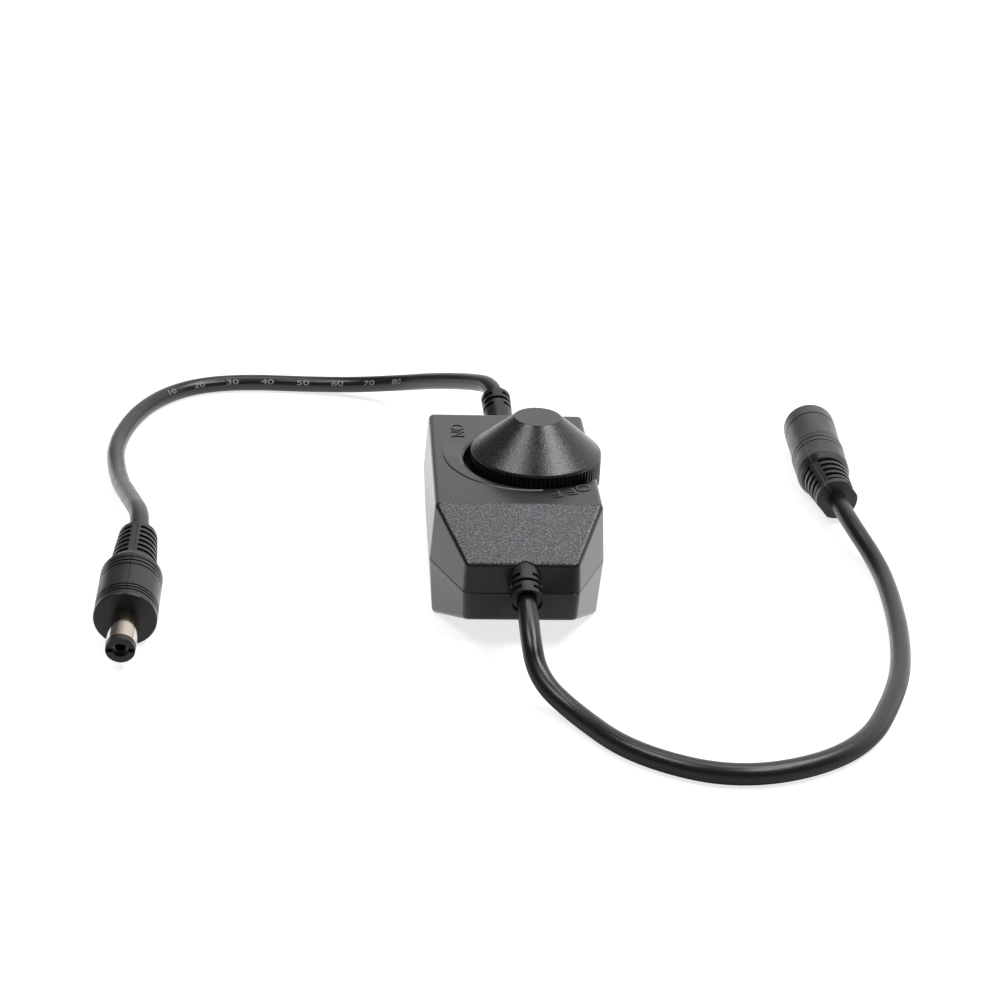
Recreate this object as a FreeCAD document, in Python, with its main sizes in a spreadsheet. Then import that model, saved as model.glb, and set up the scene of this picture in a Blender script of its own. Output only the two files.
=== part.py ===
"""Rotary cord dimmer: an in-line housing with a cone-shaped thumb wheel, on a lead with a plug and a socket.

Millimetres, +Z up. The origin is the middle of the housing's underside, on the surface that it rests on.
The plug's lead leaves the back (+Y) and the socket's lead leaves the front (-Y).
"""
import FreeCAD, Part
import math
import os
import re

import Sketcher

Vector = FreeCAD.Vector
Rotation = FreeCAD.Rotation
doc = FreeCAD.newDocument("rotary_cord_dimmer")
sheet = doc.addObject("Spreadsheet::Sheet", "Sizes")
nodes = []

# Driving dimensions, in millimetres and degrees
sizes = {
    # Housing: two shells that meet half way up
    "shell_width": 33.4,
    "shell_length": 71.0,
    "flat_length": 42.8,
    "end_width": 21.2,
    "lower_height": 11.7,
    "upper_height": 11.7,
    "end_drop": 6.1,
    "draft": 3.9,
    "wall": 1.6,
    "edge_round": 1.0,
    "corner_round": 1.6,
    "lip_height": 1.2,
    "lip_gap": 0.1,
    "seat_gap": 0.3,
    "parting_edge": 0.12,
    # Thumb wheel and the well that it turns in
    "wheel_overhang": 0.85,
    "wheel_radius": 12.95,
    "wheel_top_radius": 4.6,
    "wheel_rise": 8.9,
    "cone_height": 7.1,
    "rim_height": 6.0,
    "rim_wall": 1.5,
    "knurl_count": 90,
    "knurl_depth": 0.35,
    "knurl_stop": 0.4,
    "wheel_edge": 0.25,
    "rim_edge": 0.7,
    "wheel_roof": 2.7,
    "hub_radius": 4.6,
    "well_gap": 1.35,
    "well_wall": 1.2,
    "well_floor_gap": 0.8,
    "well_floor": 1.4,
    "well_edge": 0.35,
    # Crescent sunk round the wheel from the dim end to the bright end; its floor slopes
    "crescent_start": 157.0,
    "crescent_end": 271.0,
    "crescent_start_reach": 4.8,
    "crescent_end_reach": 1.1,
    "crescent_depth": 0.3,
    # Circuit board on its four pillars
    "board_side_gap": 2.4,
    "board_end_gap": 9.9,
    "board_thickness": 1.6,
    "board_corner": 3.0,
    "board_height": 5.6,
    "pillar_radius": 3.2,
    "boss_radius": 2.4,
    "screw_inset_x": 2.7,
    "screw_inset_y": 5.8,
    "screw_radius": 1.1,
    "screw_reach": 15.0,
    "screw_point": 1.2,
    "screw_gap": 0.2,
    "thread_gap": 0.05,
    "thread_run": 0.5,
    "board_hole_gap": 0.6,
    "head_radius": 2.0,
    "head_height": 1.3,
    "head_recess": 2.3,
    "head_gap": 0.3,
    "drive_length": 2.4,
    "drive_width": 0.5,
    "drive_depth": 0.7,
    # Potentiometer with its switch
    "pot_radius": 8.0,
    "switch_height": 3.0,
    "wafer_height": 1.2,
    "can_wall": 0.5,
    "can_roof": 0.8,
    "bushing_length": 1.5,
    "can_gap": 0.3,
    "bushing_radius": 3.5,
    "bushing_gap": 0.2,
    "shaft_radius": 3.0,
    "shaft_flat": 1.4,
    "shaft_fit": 0.05,
    "shaft_in_hub": 7.7,
    "shaft_clear": 0.3,
    "pin_width": 1.0,
    "pin_pitch": 5.0,
    "pin_thickness": 0.5,
    "pin_row": 10.3,
    "pin_hole": 0.8,
    "pin_tail": 1.0,
    "switch_pin_row": 5.0,
    "switch_pin_pitch": 7.0,
    "rotor_radius": 6.8,
    "rotor_gap": 0.6,
    "rotor_height": 1.6,
    "wiper_radius": 6.0,
    "wiper_bore": 4.0,
    "wiper_gap": 0.25,
    # Parts on the board
    "lead": 0.25,
    "chip_x": 5.0,
    "chip_y": 11.5,
    "chip_width": 4.0,
    "chip_length": 5.0,
    "chip_height": 1.4,
    "chip_pitch": 1.27,
    "chip_lead": 1.0,
    "chip_lead_width": 0.4,
    "fet_x": 0.6,
    "fet_y": 17.5,
    "fet_width": 6.6,
    "fet_length": 6.1,
    "fet_height": 2.3,
    "fet_tab": 1.0,
    "fet_lead": 2.5,
    "fet_lead_width": 0.8,
    "capacitor_x": 0.4,
    "capacitor_y": 18.6,
    "capacitor_radius": 4.0,
    "capacitor_height": 9.0,
    "crimp_depth": 0.25,
    "crimp_height": 0.6,
    "crimp_foot": 1.0,
    "diode_x": 6.6,
    "diode_y": 11.3,
    "diode_length": 4.3,
    "diode_width": 2.6,
    "diode_height": 2.1,
    "diode_lead": 0.45,
    "diode_lead_width": 1.4,
    "small_x": 0.6,
    "small_y": 11.5,
    "small_pitch": 2.8,
    "small_row": 2.4,
    "small_length": 2.0,
    "small_width": 1.25,
    "resistor_height": 0.5,
    "ceramic_height": 0.9,
    # Strain reliefs
    "relief_x": 0.45,
    "back_relief_x": 0.0,
    "back_relief_plain": 3.2,
    "back_relief_turn": -3.0,
    "relief_height": 14.8,
    "relief_radius": 2.95,
    "relief_end_radius": 3.2,
    "relief_length": 6.4,
    "relief_droop": 15.0,
    "relief_lift": 16.0,
    "relief_slot": 0.8,
    "relief_first_slot": 1.65,
    "relief_slot_pitch": 1.68,
    "slot_core_gap": 0.1,
    "relief_web": 2.2,
    "relief_gap": 0.1,
    "flange_width": 8.6,
    "flange_depth": 1.5,
    "flange_gap": 0.35,
    "neck_inset": 0.2,
    "neck_step": 0.05,
    "flange_bottom": 10.2,
    "flange_top": 16.0,
    "mouth_depth": 0.6,
    "mouth_gap": 0.95,
    # Leads
    "cord_radius": 1.9,
    "wire_radius": 0.75,
    "wire_spacing": 2.2,
    "wire_straight": 3.4,
    "wire_slant": 3.2,
    "wire_crest": 5.9,
    "wire_rise": 3.6,
    "pad_x": 3.5,
    "pad_pitch": 3.0,
    "pad_inset": 1.4,
    # Plug
    "plug_x": -72.8,
    "plug_y": -36.1,
    "plug_turn": -0.3,
    "plug_tilt": 6.8,
    "plug_radius": 5.85,
    "plug_body_length": 16.4,
    "plug_length": 27.6,
    "boot_radius": 4.55,
    "boot_end_radius": 3.75,
    "barrel_radius": 2.75,
    "barrel_bore": 1.05,
    "barrel_length": 9.5,
    "barrel_wall": 0.3,
    "barrel_tail": 3.0,
    "contact_wall": 0.37,
    "contact_set_back": 1.2,
    "tip_step": 0.05,
    "keyway": 0.9,
    "tip_length": 1.3,
    "ring_depth": 0.25,
    "ring_width": 0.4,
    "plug_shoulder": 2.6,
    "shoulder_round": 1.2,
    "rim_round": 0.3,
    "floor_gap": 0.02,
    "plug_rib": 1.7,
    "plug_core": 2.4,
    "plug_first_slot": 0.65,
    "plug_slot_pitch": 1.75,
    "plug_slot_count": 6,
    "plug_slot": 0.95,
    "plug_front_ring": 1.7,
    "plug_front_pitch": 0.85,
    "plug_rear_ring": 10.1,
    "plug_rear_pitch": 1.15,
    # Socket
    "socket_x": 72.75,
    "socket_y": 58.85,
    "socket_turn": 4.0,
    "socket_radius": 5.8,
    "socket_mouth_radius": 5.75,
    "socket_waist_radius": 5.5,
    "socket_back_radius": 5.6,
    "socket_body_length": 28.0,
    "socket_length": 39.0,
    "socket_boot_radius": 5.0,
    "socket_boot_end": 4.1,
    "socket_boot_turn": -2.0,
    "socket_bend": 27.0,
    "socket_bend_step": 0.08,
    "socket_collar": 1.5,
    "socket_collar_radius": 4.4,
    "socket_flat": 3.95,
    "socket_lip": 4.5,
    "socket_roll": 40.0,
    "jack_radius": 2.9,
    "jack_depth": 11.0,
    "jack_pin_radius": 0.95,
    "jack_pin_set_back": 1.0,
    "jack_pin_root": 1.3,
    "jack_wall": 1.0,
    "jack_base": 2.0,
    "jack_set_back": 0.3,
    "strip_width": 2.0,
    "strip_thickness": 0.4,
    "strip_set_back": 2.0,
    "strip_seat": 0.5,
    "socket_shoulder": 1.9,
    "socket_rib": 2.0,
    "socket_core": 3.0,
    "socket_first_slot": 1.75,
    "socket_slot_pitch": 2.05,
    "socket_slot_count": 5,
    "socket_slot": 1.1,
    "socket_ring": 15.9,
    "socket_ring_pitch": 1.95,
}
for row, (name, value) in enumerate(sizes.items(), start=1):
    sheet.set(f"A{row}", name)
    sheet.set(f"B{row}", str(value))
    sheet.setAlias(f"B{row}", name)
doc.recompute()

# Lengths and places that follow from the sizes
follows = {
    "wheel_x": "shell_width / 2 + wheel_overhang - wheel_radius",
    "board_width": "shell_width - 2 * (wall + board_side_gap)",
    "board_length": "shell_length - 2 * (wall + board_end_gap)",
    "screw_x": "board_width / 2 - screw_inset_x",
    "screw_y": "board_length / 2 - screw_inset_y",
}
NAME = re.compile(r"[a-z][a-z0-9_]*")


def ex(text):
    """Turn the plain names of a formula into references to the sheet."""
    def meaning(found):
        name = found.group()
        if name in follows:
            return f"({ex(follows[name])})"
        return "Sizes." + name if name in sizes else name
    return NAME.sub(meaning, str(text))


def bind(obj, **formulas):
    for name, text in formulas.items():
        obj.setExpression(name, ex(text))
    return obj


def place(obj, x="0", y="0", z="0"):
    for axis, text in zip("xyz", (x, y, z)):
        obj.setExpression(f"Placement.Base.{axis}", ex(text))
    return obj


def box(name, width, depth, height, x="0", y="0", z="0"):
    """A block centred on x and y that stands on z."""
    part = bind(doc.addObject("Part::Box", name), Length=width, Width=depth, Height=height)
    return place(part, f"({x}) - ({width}) / 2", f"({y}) - ({depth}) / 2", z)


LYING = {"x": Rotation(Vector(0, 1, 0), 90), "y": Rotation(Vector(1, 0, 0), -90), "z": Rotation()}


def cylinder(name, radius, height, x="0", y="0", z="0", along="z"):
    part = doc.addObject("Part::Cylinder", name)
    part.Placement.Rotation = LYING[along]
    return place(bind(part, Radius=radius, Height=height), x, y, z)


def cone(name, radius, end_radius, height, x="0", y="0", z="0", along="z"):
    part = doc.addObject("Part::Cone", name)
    part.Placement.Rotation = LYING[along]
    return place(bind(part, Radius1=radius, Radius2=end_radius, Height=height), x, y, z)


def fuse(name, parts):
    joined = doc.addObject("Part::MultiFuse", name)
    joined.Shapes = parts
    joined.Refine = True
    return joined


def common(name, parts):
    shared = doc.addObject("Part::MultiCommon", name)
    shared.Shapes = parts
    return shared


def cut(name, base, tools):
    """Take one or several tools away from a base."""
    result = doc.addObject("Part::Cut", name)
    result.Base = base
    result.Tool = tools[0] if len(tools) == 1 else fuse(name + "_tools", tools)
    return result


def shape_feature(name, shape):
    part = doc.addObject("Part::Feature", name)
    part.Shape = shape
    return part


def node(obj, name):
    """Name a finished piece: the label is also its file's name."""
    obj.Label = name
    nodes.append(obj)
    return obj


def new_body(name):
    return doc.addObject("PartDesign::Body", name)


def origin_plane(body, role):
    return next(item for item in body.Origin.OriginFeatures if item.Role == role)


def new_sketch(body, name, role, offset="0"):
    sketch = body.newObject("Sketcher::SketchObject", name)
    sketch.AttachmentSupport = (origin_plane(body, role), [""])
    sketch.MapMode = "FlatFace"
    sketch.setExpression("AttachmentOffset.Base.z", ex(offset))
    return sketch


def polygon(body, name, role, corners, offset="0", inner=()):
    """A closed outline, with a hole if need be, whose corners are held by their distances from the origin."""
    sketch = new_sketch(body, name, role, offset)
    for loop, reach in ((corners, 2), (inner, 1)):
        first = sketch.GeometryCount
        count = len(loop)
        turns = [2 * math.pi * i / count for i in range(count)]
        spots = [Vector(reach * math.cos(turn), reach * math.sin(turn), 0) for turn in turns]
        for i in range(count):
            sketch.addGeometry(Part.LineSegment(spots[i], spots[(i + 1) % count]))
        for i in range(count):
            sketch.addConstraint(Sketcher.Constraint("Coincident", first + i, 2, first + (i + 1) % count, 1))
        for i, corner in enumerate(loop):
            x, y = corner
            for kind, number, text in (("DistanceX", spots[i].x, x), ("DistanceY", spots[i].y, y)):
                at = sketch.addConstraint(Sketcher.Constraint(kind, -1, 1, first + i, 1, number))
                label = f"{kind[-1].lower()}_{first + i}"
                sketch.renameConstraint(at, label)
                sketch.setExpression(f"Constraints.{label}", ex(text))
    return sketch


def pad(body, name, profile, length, taper="0", reversed_=False, symmetric=False):
    feature = body.newObject("PartDesign::Pad", name)
    feature.Profile = profile
    feature.Reversed = reversed_
    feature.SideType = "Symmetric" if symmetric else "One side"
    bind(feature, Length=length, TaperAngle=taper)
    profile.Visibility = False
    return feature


def pocket(body, name, profile, length, symmetric=False, reversed_=False):
    feature = body.newObject("PartDesign::Pocket", name)
    feature.Profile = profile
    feature.SideType = "Symmetric" if symmetric else "One side"
    feature.Reversed = reversed_
    bind(feature, Length=length)
    return feature


def revolve(body, name, profile):
    feature = body.newObject("PartDesign::Revolution", name)
    feature.Profile = profile
    feature.ReferenceAxis = (profile, ["V_Axis"])
    feature.Angle = 360
    return feature


def picked_edges(base, choose):
    doc.recompute()
    return base, [f"Edge{i + 1}" for i, edge in enumerate(base.Shape.Edges) if choose(edge)]


def fillet(body, name, base, radius, choose):
    """Round the edges of a feature that the rule picks out."""
    edges = picked_edges(base, choose)
    feature = body.newObject("PartDesign::Fillet", name)
    feature.Base = edges
    bind(feature, Radius=radius)
    return feature


def chamfer(body, name, base, width, choose):
    """Bevel the edges of a feature that the rule picks out."""
    edges = picked_edges(base, choose)
    feature = body.newObject("PartDesign::Chamfer", name)
    feature.Base = edges
    bind(feature, Size=width)
    return feature


# Outline shared by both shells
# The long sides run straight, then turn in by the same angle towards both ends.
END_TURN = "atan((shell_width - end_width) / (shell_length - flat_length))"
SLOPE = "atan(2 * end_drop / (shell_length - flat_length))"


def shell_outline(inset):
    """Corners of the plan, moved inwards by an even distance."""
    side = f"shell_width / 2 - ({inset})"
    bend = f"flat_length / 2 - ({inset}) * tan({END_TURN} / 2)"
    end = f"shell_length / 2 - ({inset})"
    corner = f"end_width / 2 - ({inset}) * tan(45 deg - {END_TURN} / 2)"
    right = [(side, f"-({bend})"), (side, bend), (corner, end)]
    left = [(f"-({corner})", end), (f"-({side})", bend), (f"-({side})", f"-({bend})")]
    return right + left + [(f"-({corner})", f"-({end})"), (corner, f"-({end})")]


def shell_block(name, inset, upper, rounded):
    """Half of the housing as a solid block: drafted plan, with both ends cut away along the slope."""
    block = new_body(name)
    plan = polygon(block, name + "_plan", "XY_Plane", shell_outline(inset), "lower_height")
    height = f"({'upper_height' if upper else 'lower_height'} - ({inset}))"
    base = pad(block, name + "_pad", plan, height, "-draft", reversed_=not upper)
    parting = sizes["lower_height"]

    def upright(edge):
        return edge.BoundBox.ZLength > 1

    def away_from_parting(edge):
        return min(abs(edge.BoundBox.ZMin - parting), abs(edge.BoundBox.ZMax - parting)) > 1

    def on_parting(edge):
        return max(abs(edge.BoundBox.ZMin - parting), abs(edge.BoundBox.ZMax - parting)) < 0.001

    if rounded:
        base = fillet(block, name + "_corners", base, "corner_round", upright)
    sign = "+" if upper else "-"
    top = f"(lower_height {sign} {height})"
    crest = f"(flat_length / 2 - ({inset}) * tan({SLOPE} / 2))"
    far = "(shell_length / 2 + 2)"
    low = f"{top} - ({sign}1) * ({far} - {crest}) * tan({SLOPE})"
    beyond = f"{top} {sign} 2"
    for side, way in (("front", "-"), ("back", "")):
        corners = [(way + crest, top), (way + far, low), (way + far, beyond), (way + crest, beyond)]
        wedge = polygon(block, f"{name}_{side}_wedge", "YZ_Plane", corners)
        base = pocket(block, f"{name}_{side}_slope", wedge, "2 * shell_width", symmetric=True)
    if rounded:
        base = fillet(block, name + "_edges", base, "edge_round", away_from_parting)
        chamfer(block, name + "_parting", base, "parting_edge", on_parting)
    return block


WHEEL_BASE = "lower_height + upper_height + wheel_rise - cone_height - rim_height"
WELL_BOTTOM = f"{WHEEL_BASE} - well_floor_gap"
WELL_RADIUS = "wheel_radius + well_gap"
TOP = "lower_height + upper_height"
BOARD_TOP = "board_height + board_thickness"
screw_spots = [(sx, sy) for sx in ("-", "") for sy in ("-", "")]


def four(maker, name, *dims, z):
    """The same primitive at each of the four screws."""
    return [maker(f"{name}_{i}", *dims, f"{sx}screw_x", f"{sy}screw_y", z)
            for i, (sx, sy) in enumerate(screw_spots)]


ENDS = (("front", "-", "relief_x"), ("back", "", "back_relief_x"))
NECK_START = "shell_length / 2 - wall - flange_gap"
KNUCKLE_START = "(shell_length / 2 - relief_radius - 2 * relief_gap)"


def arch(name, sign, x, radius, start, length, bottom):
    """A bar along Y with a round top and a flat foot, at one end of the housing."""
    y = f"-({start} + {length})" if sign else start
    round_part = cylinder(name + "_round", radius, length, x, y, "relief_height", along="y")
    foot = box(name + "_foot", f"2 * ({radius})", length, f"relief_height - ({bottom})", x,
               f"{sign}({start} + ({length}) / 2)", bottom)
    return [round_part, foot]


def ring(name, outer, core, width, z):
    """A ring along Z, from the core's radius outwards, for a groove or a slot."""
    disc = cylinder(name + "_disc", outer, width, z=z)
    return cut(name, disc, [cylinder(name + "_core", core, width, z=z)])


def compound(name, parts):
    group = doc.addObject("Part::Compound", name)
    group.Links = parts
    return group


def aim(obj, x, y, z, roll="0", lift="0", heading="0"):
    """Move a piece that was made along Z: roll it, lift its far end from the level, then turn it about Z."""
    turns = f"rotationz(-({heading})) * rotationx(({lift}) - 90) * rotationz({roll})"
    obj.setExpression("Placement", ex(f"placement(vector({x}; {y}; {z}); {turns})"))
    return obj


def sphere(name, radius):
    return bind(doc.addObject("Part::Sphere", name), Radius=radius)


def slots(name, rows, first, pitch, width, outer, core, rib, crossed=()):
    """Rows of slots round a sleeve along Z; each row leaves two ribs, at the sides in the crossed rows."""
    tools = []
    for i in range(int(rows)):
        z = f"{first} + {i} * {pitch} - {width} / 2"
        across = (f"4 * {outer}", rib) if i in crossed else (rib, f"4 * {outer}")
        disc = cylinder(f"{name}_disc_{i}", f"1.5 * {outer}", width, z=z)
        kept = [cylinder(f"{name}_core_{i}", core, width, z=z), box(f"{name}_rib_{i}", *across, width, z=z)]
        tools.append(cut(f"{name}_row_{i}", disc, kept))
    return tools


def tube(name, points, radius):
    """A round tube along straight runs that are joined by arcs."""
    spots = [Vector(*point) for point in points]
    edges = []
    bends = []
    start = spots[0]
    for before, corner, after in zip(spots, spots[1:], spots[2:]):
        into = (corner - before).normalize()
        onward = (after - corner).normalize()
        turn = into.getAngle(onward)
        reach = 0.45 * min(corner.distanceToPoint(before), corner.distanceToPoint(after))
        bend = reach / math.tan(turn / 2)
        bends.append(round(bend, 1))
        inward = (onward - into).normalize()
        middle = corner + inward * (bend / math.cos(turn / 2) - bend)
        edges.append(Part.LineSegment(start, corner - into * reach).toShape())
        edges.append(Part.Arc(corner - into * reach, middle, corner + onward * reach).toShape())
        start = corner + onward * reach
    edges.append(Part.LineSegment(start, spots[-1]).toShape())
    path = Part.Wire(edges)
    section = Part.Wire([Part.Circle(spots[0], spots[1] - spots[0], radius).toShape()])
    solid = path.makePipeShell([section], True, False)
    even = solid.Volume / (math.pi * radius ** 2 * path.Length)
    print(name, "length", round(path.Length, 1), "bends", bends, "volume share", round(even, 4))
    return node(shape_feature(name, solid), name)


# Upper shell
# It carries the well, whose floor the shaft comes through, and the four bosses that the screws bite in.
upper_block = shell_block("upper_block", "0", True, True)
upper_hollow = shell_block("upper_hollow", "wall", True, False)
well_drum = cylinder("well_drum", f"{WELL_RADIUS} + well_wall", f"{TOP} - ({WELL_BOTTOM}) + well_floor",
                     "wheel_x", "0", f"{WELL_BOTTOM} - well_floor")
well_body = common("well_body", [well_drum, upper_block])
bosses = four(cylinder, "boss", "boss_radius", f"{TOP} - wall / 2 - ({BOARD_TOP}) - lip_gap",
              z=f"{BOARD_TOP} + lip_gap")
upper_walls = fuse("upper_walls", [cut("upper_skin", upper_block, [upper_hollow]), well_body] + bosses)


def rim_ring(name, outer_inset, inner_inset, height):
    """A band that stands on the parting line, between two insets of the plan."""
    band = new_body(name)
    plan = polygon(band, name + "_plan", "XY_Plane", shell_outline(outer_inset), "lower_height",
                   inner=shell_outline(inner_inset))
    pad(band, name + "_pad", plan, height)
    return band


# The crescent's edge comes nearer to the well from its start to its end, and its floor goes down by as much.
CRESCENT_STEPS = 16
CRESCENT_Y = f"(({WELL_RADIUS} + crescent_start_reach) * sin(crescent_start))"


def on_crescent(reach, turn):
    return (f"wheel_x + ({WELL_RADIUS} + {reach}) * cos({turn})",
            f"({WELL_RADIUS} + {reach}) * sin({turn}) - {CRESCENT_Y}")


crescent = new_body("crescent")
crescent_corners = [on_crescent("(-well_edge * 2)", "crescent_end"),
                    on_crescent("(-well_edge * 2)", "crescent_start")]
for i in range(CRESCENT_STEPS + 1):
    share = i / CRESCENT_STEPS
    crescent_corners.append(on_crescent(
        f"(crescent_start_reach + (crescent_end_reach - crescent_start_reach) * {share})",
        f"(crescent_start + (crescent_end - crescent_start) * {share})"))
pad(crescent, "crescent_pad", polygon(crescent, "crescent_plan", "XY_Plane", crescent_corners), "wheel_rise")
CRESCENT_FALL = f"({CRESCENT_Y} - ({WELL_RADIUS} + crescent_end_reach) * sin(crescent_end))"
crescent.setExpression("Placement", ex(
    f"placement(vector(0; {CRESCENT_Y}; {TOP}); rotationx(atan(crescent_depth / {CRESCENT_FALL})))"))

upper_tools = [
    cylinder("well_opening", WELL_RADIUS, "wheel_rise + rim_height", "wheel_x", "0", WELL_BOTTOM),
    cone("well_edge_cut", WELL_RADIUS, f"{WELL_RADIUS} + 2 * well_edge", "2 * well_edge", "wheel_x", "0",
         f"{TOP} - well_edge"),
    cylinder("bushing_hole", "bushing_radius + bushing_gap", "4 * well_floor", "wheel_x", "0",
             f"{WELL_BOTTOM} - 2 * well_floor"),
    rim_ring("lip_seat", "wall / 2 - lip_gap", "wall + seat_gap", "lip_height + lip_gap"),
    crescent,
]
upper_tools += four(cylinder, "boss_hole", "screw_radius + thread_gap",
                    f"screw_reach + thread_run - ({BOARD_TOP})",
                    z=BOARD_TOP)
for end, sign, x in ENDS:
    upper_tools += arch(f"{end}_passage", sign, x, "relief_radius + relief_gap", KNUCKLE_START,
                        "2 * relief_radius",
                        "lower_height - 1")
upper_shell = node(cut("upper_shell", upper_walls, upper_tools), "upper_shell")

# Lower shell
# A tray with four pillars under the board, a locating lip, and a counterbored hole for each screw.
lower_block = shell_block("lower_block", "0", False, True)
lower_hollow = shell_block("lower_hollow", "wall", False, False)
pillars = four(cylinder, "pillar", "pillar_radius", "board_height - wall / 2", z="wall / 2")
lip = rim_ring("lip", "wall / 2", "wall", "lip_height")
lower_walls = fuse("lower_walls", [cut("lower_skin", lower_block, [lower_hollow]), lip] + pillars)
lower_tools = four(cylinder, "counterbore", "head_radius + head_gap", "head_recess + 1", z="-1")
lower_tools += four(cylinder, "screw_hole", "screw_radius + screw_gap", "board_height + 1", z="0")
for end, sign, x in ENDS:
    lower_tools.append(box(f"{end}_lip_gap", "2 * (relief_radius + relief_gap)", "2 * wall", "2 * lip_height",
                           x,
                           f"{sign}(shell_length / 2 - wall)", "lower_height"))
lower_shell = node(cut("lower_shell", lower_walls, lower_tools), "lower_shell")

# Screws: cross-head, up through the tray and the board into the bosses
heads = four(cylinder, "screw_head", "head_radius", "head_height", z="head_recess - head_height")
shanks = four(cylinder, "screw_shank", "screw_radius", "screw_reach - screw_point - head_recess",
              z="head_recess")
points = four(cone, "screw_point", "screw_radius", "screw_radius / 3", "screw_point",
              z="screw_reach - screw_point")
DRIVE_START = "head_recess - head_height - 1"
drive_a = four(box, "drive_a", "drive_length", "drive_width", "1 + drive_depth", z=DRIVE_START)
drive_b = four(box, "drive_b", "drive_width", "drive_length", "1 + drive_depth", z=DRIVE_START)
screws = [
    cut(f"screw_{i}", fuse(f"screw_blank_{i}", [heads[i], shanks[i], points[i]]), [drive_a[i], drive_b[i]])
    for i in range(4)
]
node(compound("housing_screws", screws), "housing_screws")

# Thumb wheel: a hollow cone on a knurled rim, with a hub that takes the shaft's flat
wheel = new_body("wheel")
WHEEL_TOP = f"{WHEEL_BASE} + rim_height + cone_height"
RIM_TOP = f"{WHEEL_BASE} + rim_height"
RIM_ROOF = f"{RIM_TOP} + rim_wall * cone_height / (wheel_radius - wheel_top_radius) - wheel_roof"
wheel_section = polygon(wheel, "wheel_section", "XZ_Plane", [
    ("0", WHEEL_BASE), ("hub_radius", WHEEL_BASE), ("hub_radius", f"{WHEEL_TOP} - wheel_roof"),
    ("wheel_radius - rim_wall", RIM_ROOF), ("wheel_radius - rim_wall", WHEEL_BASE),
    ("wheel_radius", WHEEL_BASE), ("wheel_radius", RIM_TOP), ("wheel_top_radius", WHEEL_TOP),
    ("0", WHEEL_TOP)])
wheel_solid = revolve(wheel, "wheel_solid", wheel_section)
doc.recompute()
wheel_height = wheel_solid.Shape.BoundBox.ZMax


def on_wheel_top(edge):
    return edge.BoundBox.ZMin > wheel_height - 0.01 and edge.BoundBox.XLength > 1


def on_rim_edge(edge):
    rim_top = wheel_height - sizes["cone_height"]
    return abs(edge.BoundBox.ZMin - rim_top) + abs(edge.BoundBox.ZMax - rim_top) < 0.01


wheel_edge = fillet(wheel, "wheel_edge_round", wheel_solid, "wheel_edge", on_wheel_top)
fillet(wheel, "rim_edge_round", wheel_edge, "rim_edge", on_rim_edge)
groove_width = "wheel_radius * sin(180 deg / knurl_count)"
groove = polygon(wheel, "knurl_groove", "XY_Plane", [
    ("wheel_radius - knurl_depth", "0"), ("wheel_radius + 0.1", f"-{groove_width}"),
    ("wheel_radius + 0.1", groove_width)], WHEEL_BASE)
groove_cut = pocket(wheel, "knurl_cut", groove, "rim_height - knurl_stop", reversed_=True)
knurl = wheel.newObject("PartDesign::PolarPattern", "knurl")
knurl.Originals = [groove_cut]
knurl.Axis = (next(item for item in wheel.Origin.OriginFeatures if item.Role == "Z_Axis"), [""])
knurl.Angle = 360
bind(knurl, Occurrences="knurl_count")
wheel.Tip = knurl
place(wheel, "wheel_x")


def flatted(name, radius, flat, bottom, height):
    """A round bar on the wheel's axis with one side cut flat."""
    bar = cylinder(name + "_bar", radius, height, "wheel_x", "0", bottom)
    side = box(name + "_side", "2 * shaft_radius", "4 * shaft_radius", height,
               f"wheel_x - ({flat}) - shaft_radius", "0", bottom)
    return cut(name, bar, [side])


SHAFT_TOP = f"{WHEEL_BASE} + shaft_in_hub"
FLAT = "shaft_radius - shaft_flat"
hub_bore = flatted("hub_bore", "shaft_radius + shaft_fit", f"{FLAT} + shaft_fit", f"{WHEEL_BASE} - 1",
                   "1 + shaft_in_hub + shaft_clear")
node(cut("knob", wheel, [hub_bore]), "knob")

# Potentiometer: switch case, wafer, can with its bushing, and the turning parts inside
WAFER_BOTTOM = f"({BOARD_TOP}) + switch_height"
WAFER_TOP = f"({WAFER_BOTTOM}) + wafer_height"
CAN_TOP = f"{WELL_BOTTOM} - well_floor - can_gap"
node(cylinder("switch_case", "pot_radius", "switch_height", "wheel_x", "0", BOARD_TOP), "switch_case")
wafer_disc = cylinder("wafer_disc", "pot_radius", "wafer_height", "wheel_x", "0", WAFER_BOTTOM)
wafer_tongue = box("wafer_tongue", "pin_row + pin_width", "2 * pin_pitch + 2 * pin_width", "wafer_height",
                   "wheel_x - (pin_row + pin_width) / 2", "0", WAFER_BOTTOM)
node(fuse("pot_wafer", [wafer_disc, wafer_tongue]), "pot_wafer")
can_drum = cylinder("can_drum", "pot_radius", f"{CAN_TOP} - ({WAFER_TOP})", "wheel_x", "0", WAFER_TOP)
bushing = cylinder("bushing", "bushing_radius", "bushing_length + can_roof", "wheel_x", "0",
                   f"{CAN_TOP} - can_roof")
can_hollow = cylinder("can_hollow", "pot_radius - can_wall", f"{CAN_TOP} - can_roof - ({WAFER_TOP})",
                      "wheel_x", "0", WAFER_TOP)
bushing_bore = cylinder("bushing_bore", "shaft_radius + shaft_fit", "3 * bushing_length + can_roof",
                        "wheel_x", "0", f"{CAN_TOP} - can_roof - bushing_length")
node(cut("pot_can", fuse("can_walls", [can_drum, bushing]), [can_hollow, bushing_bore]), "pot_can")

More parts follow.
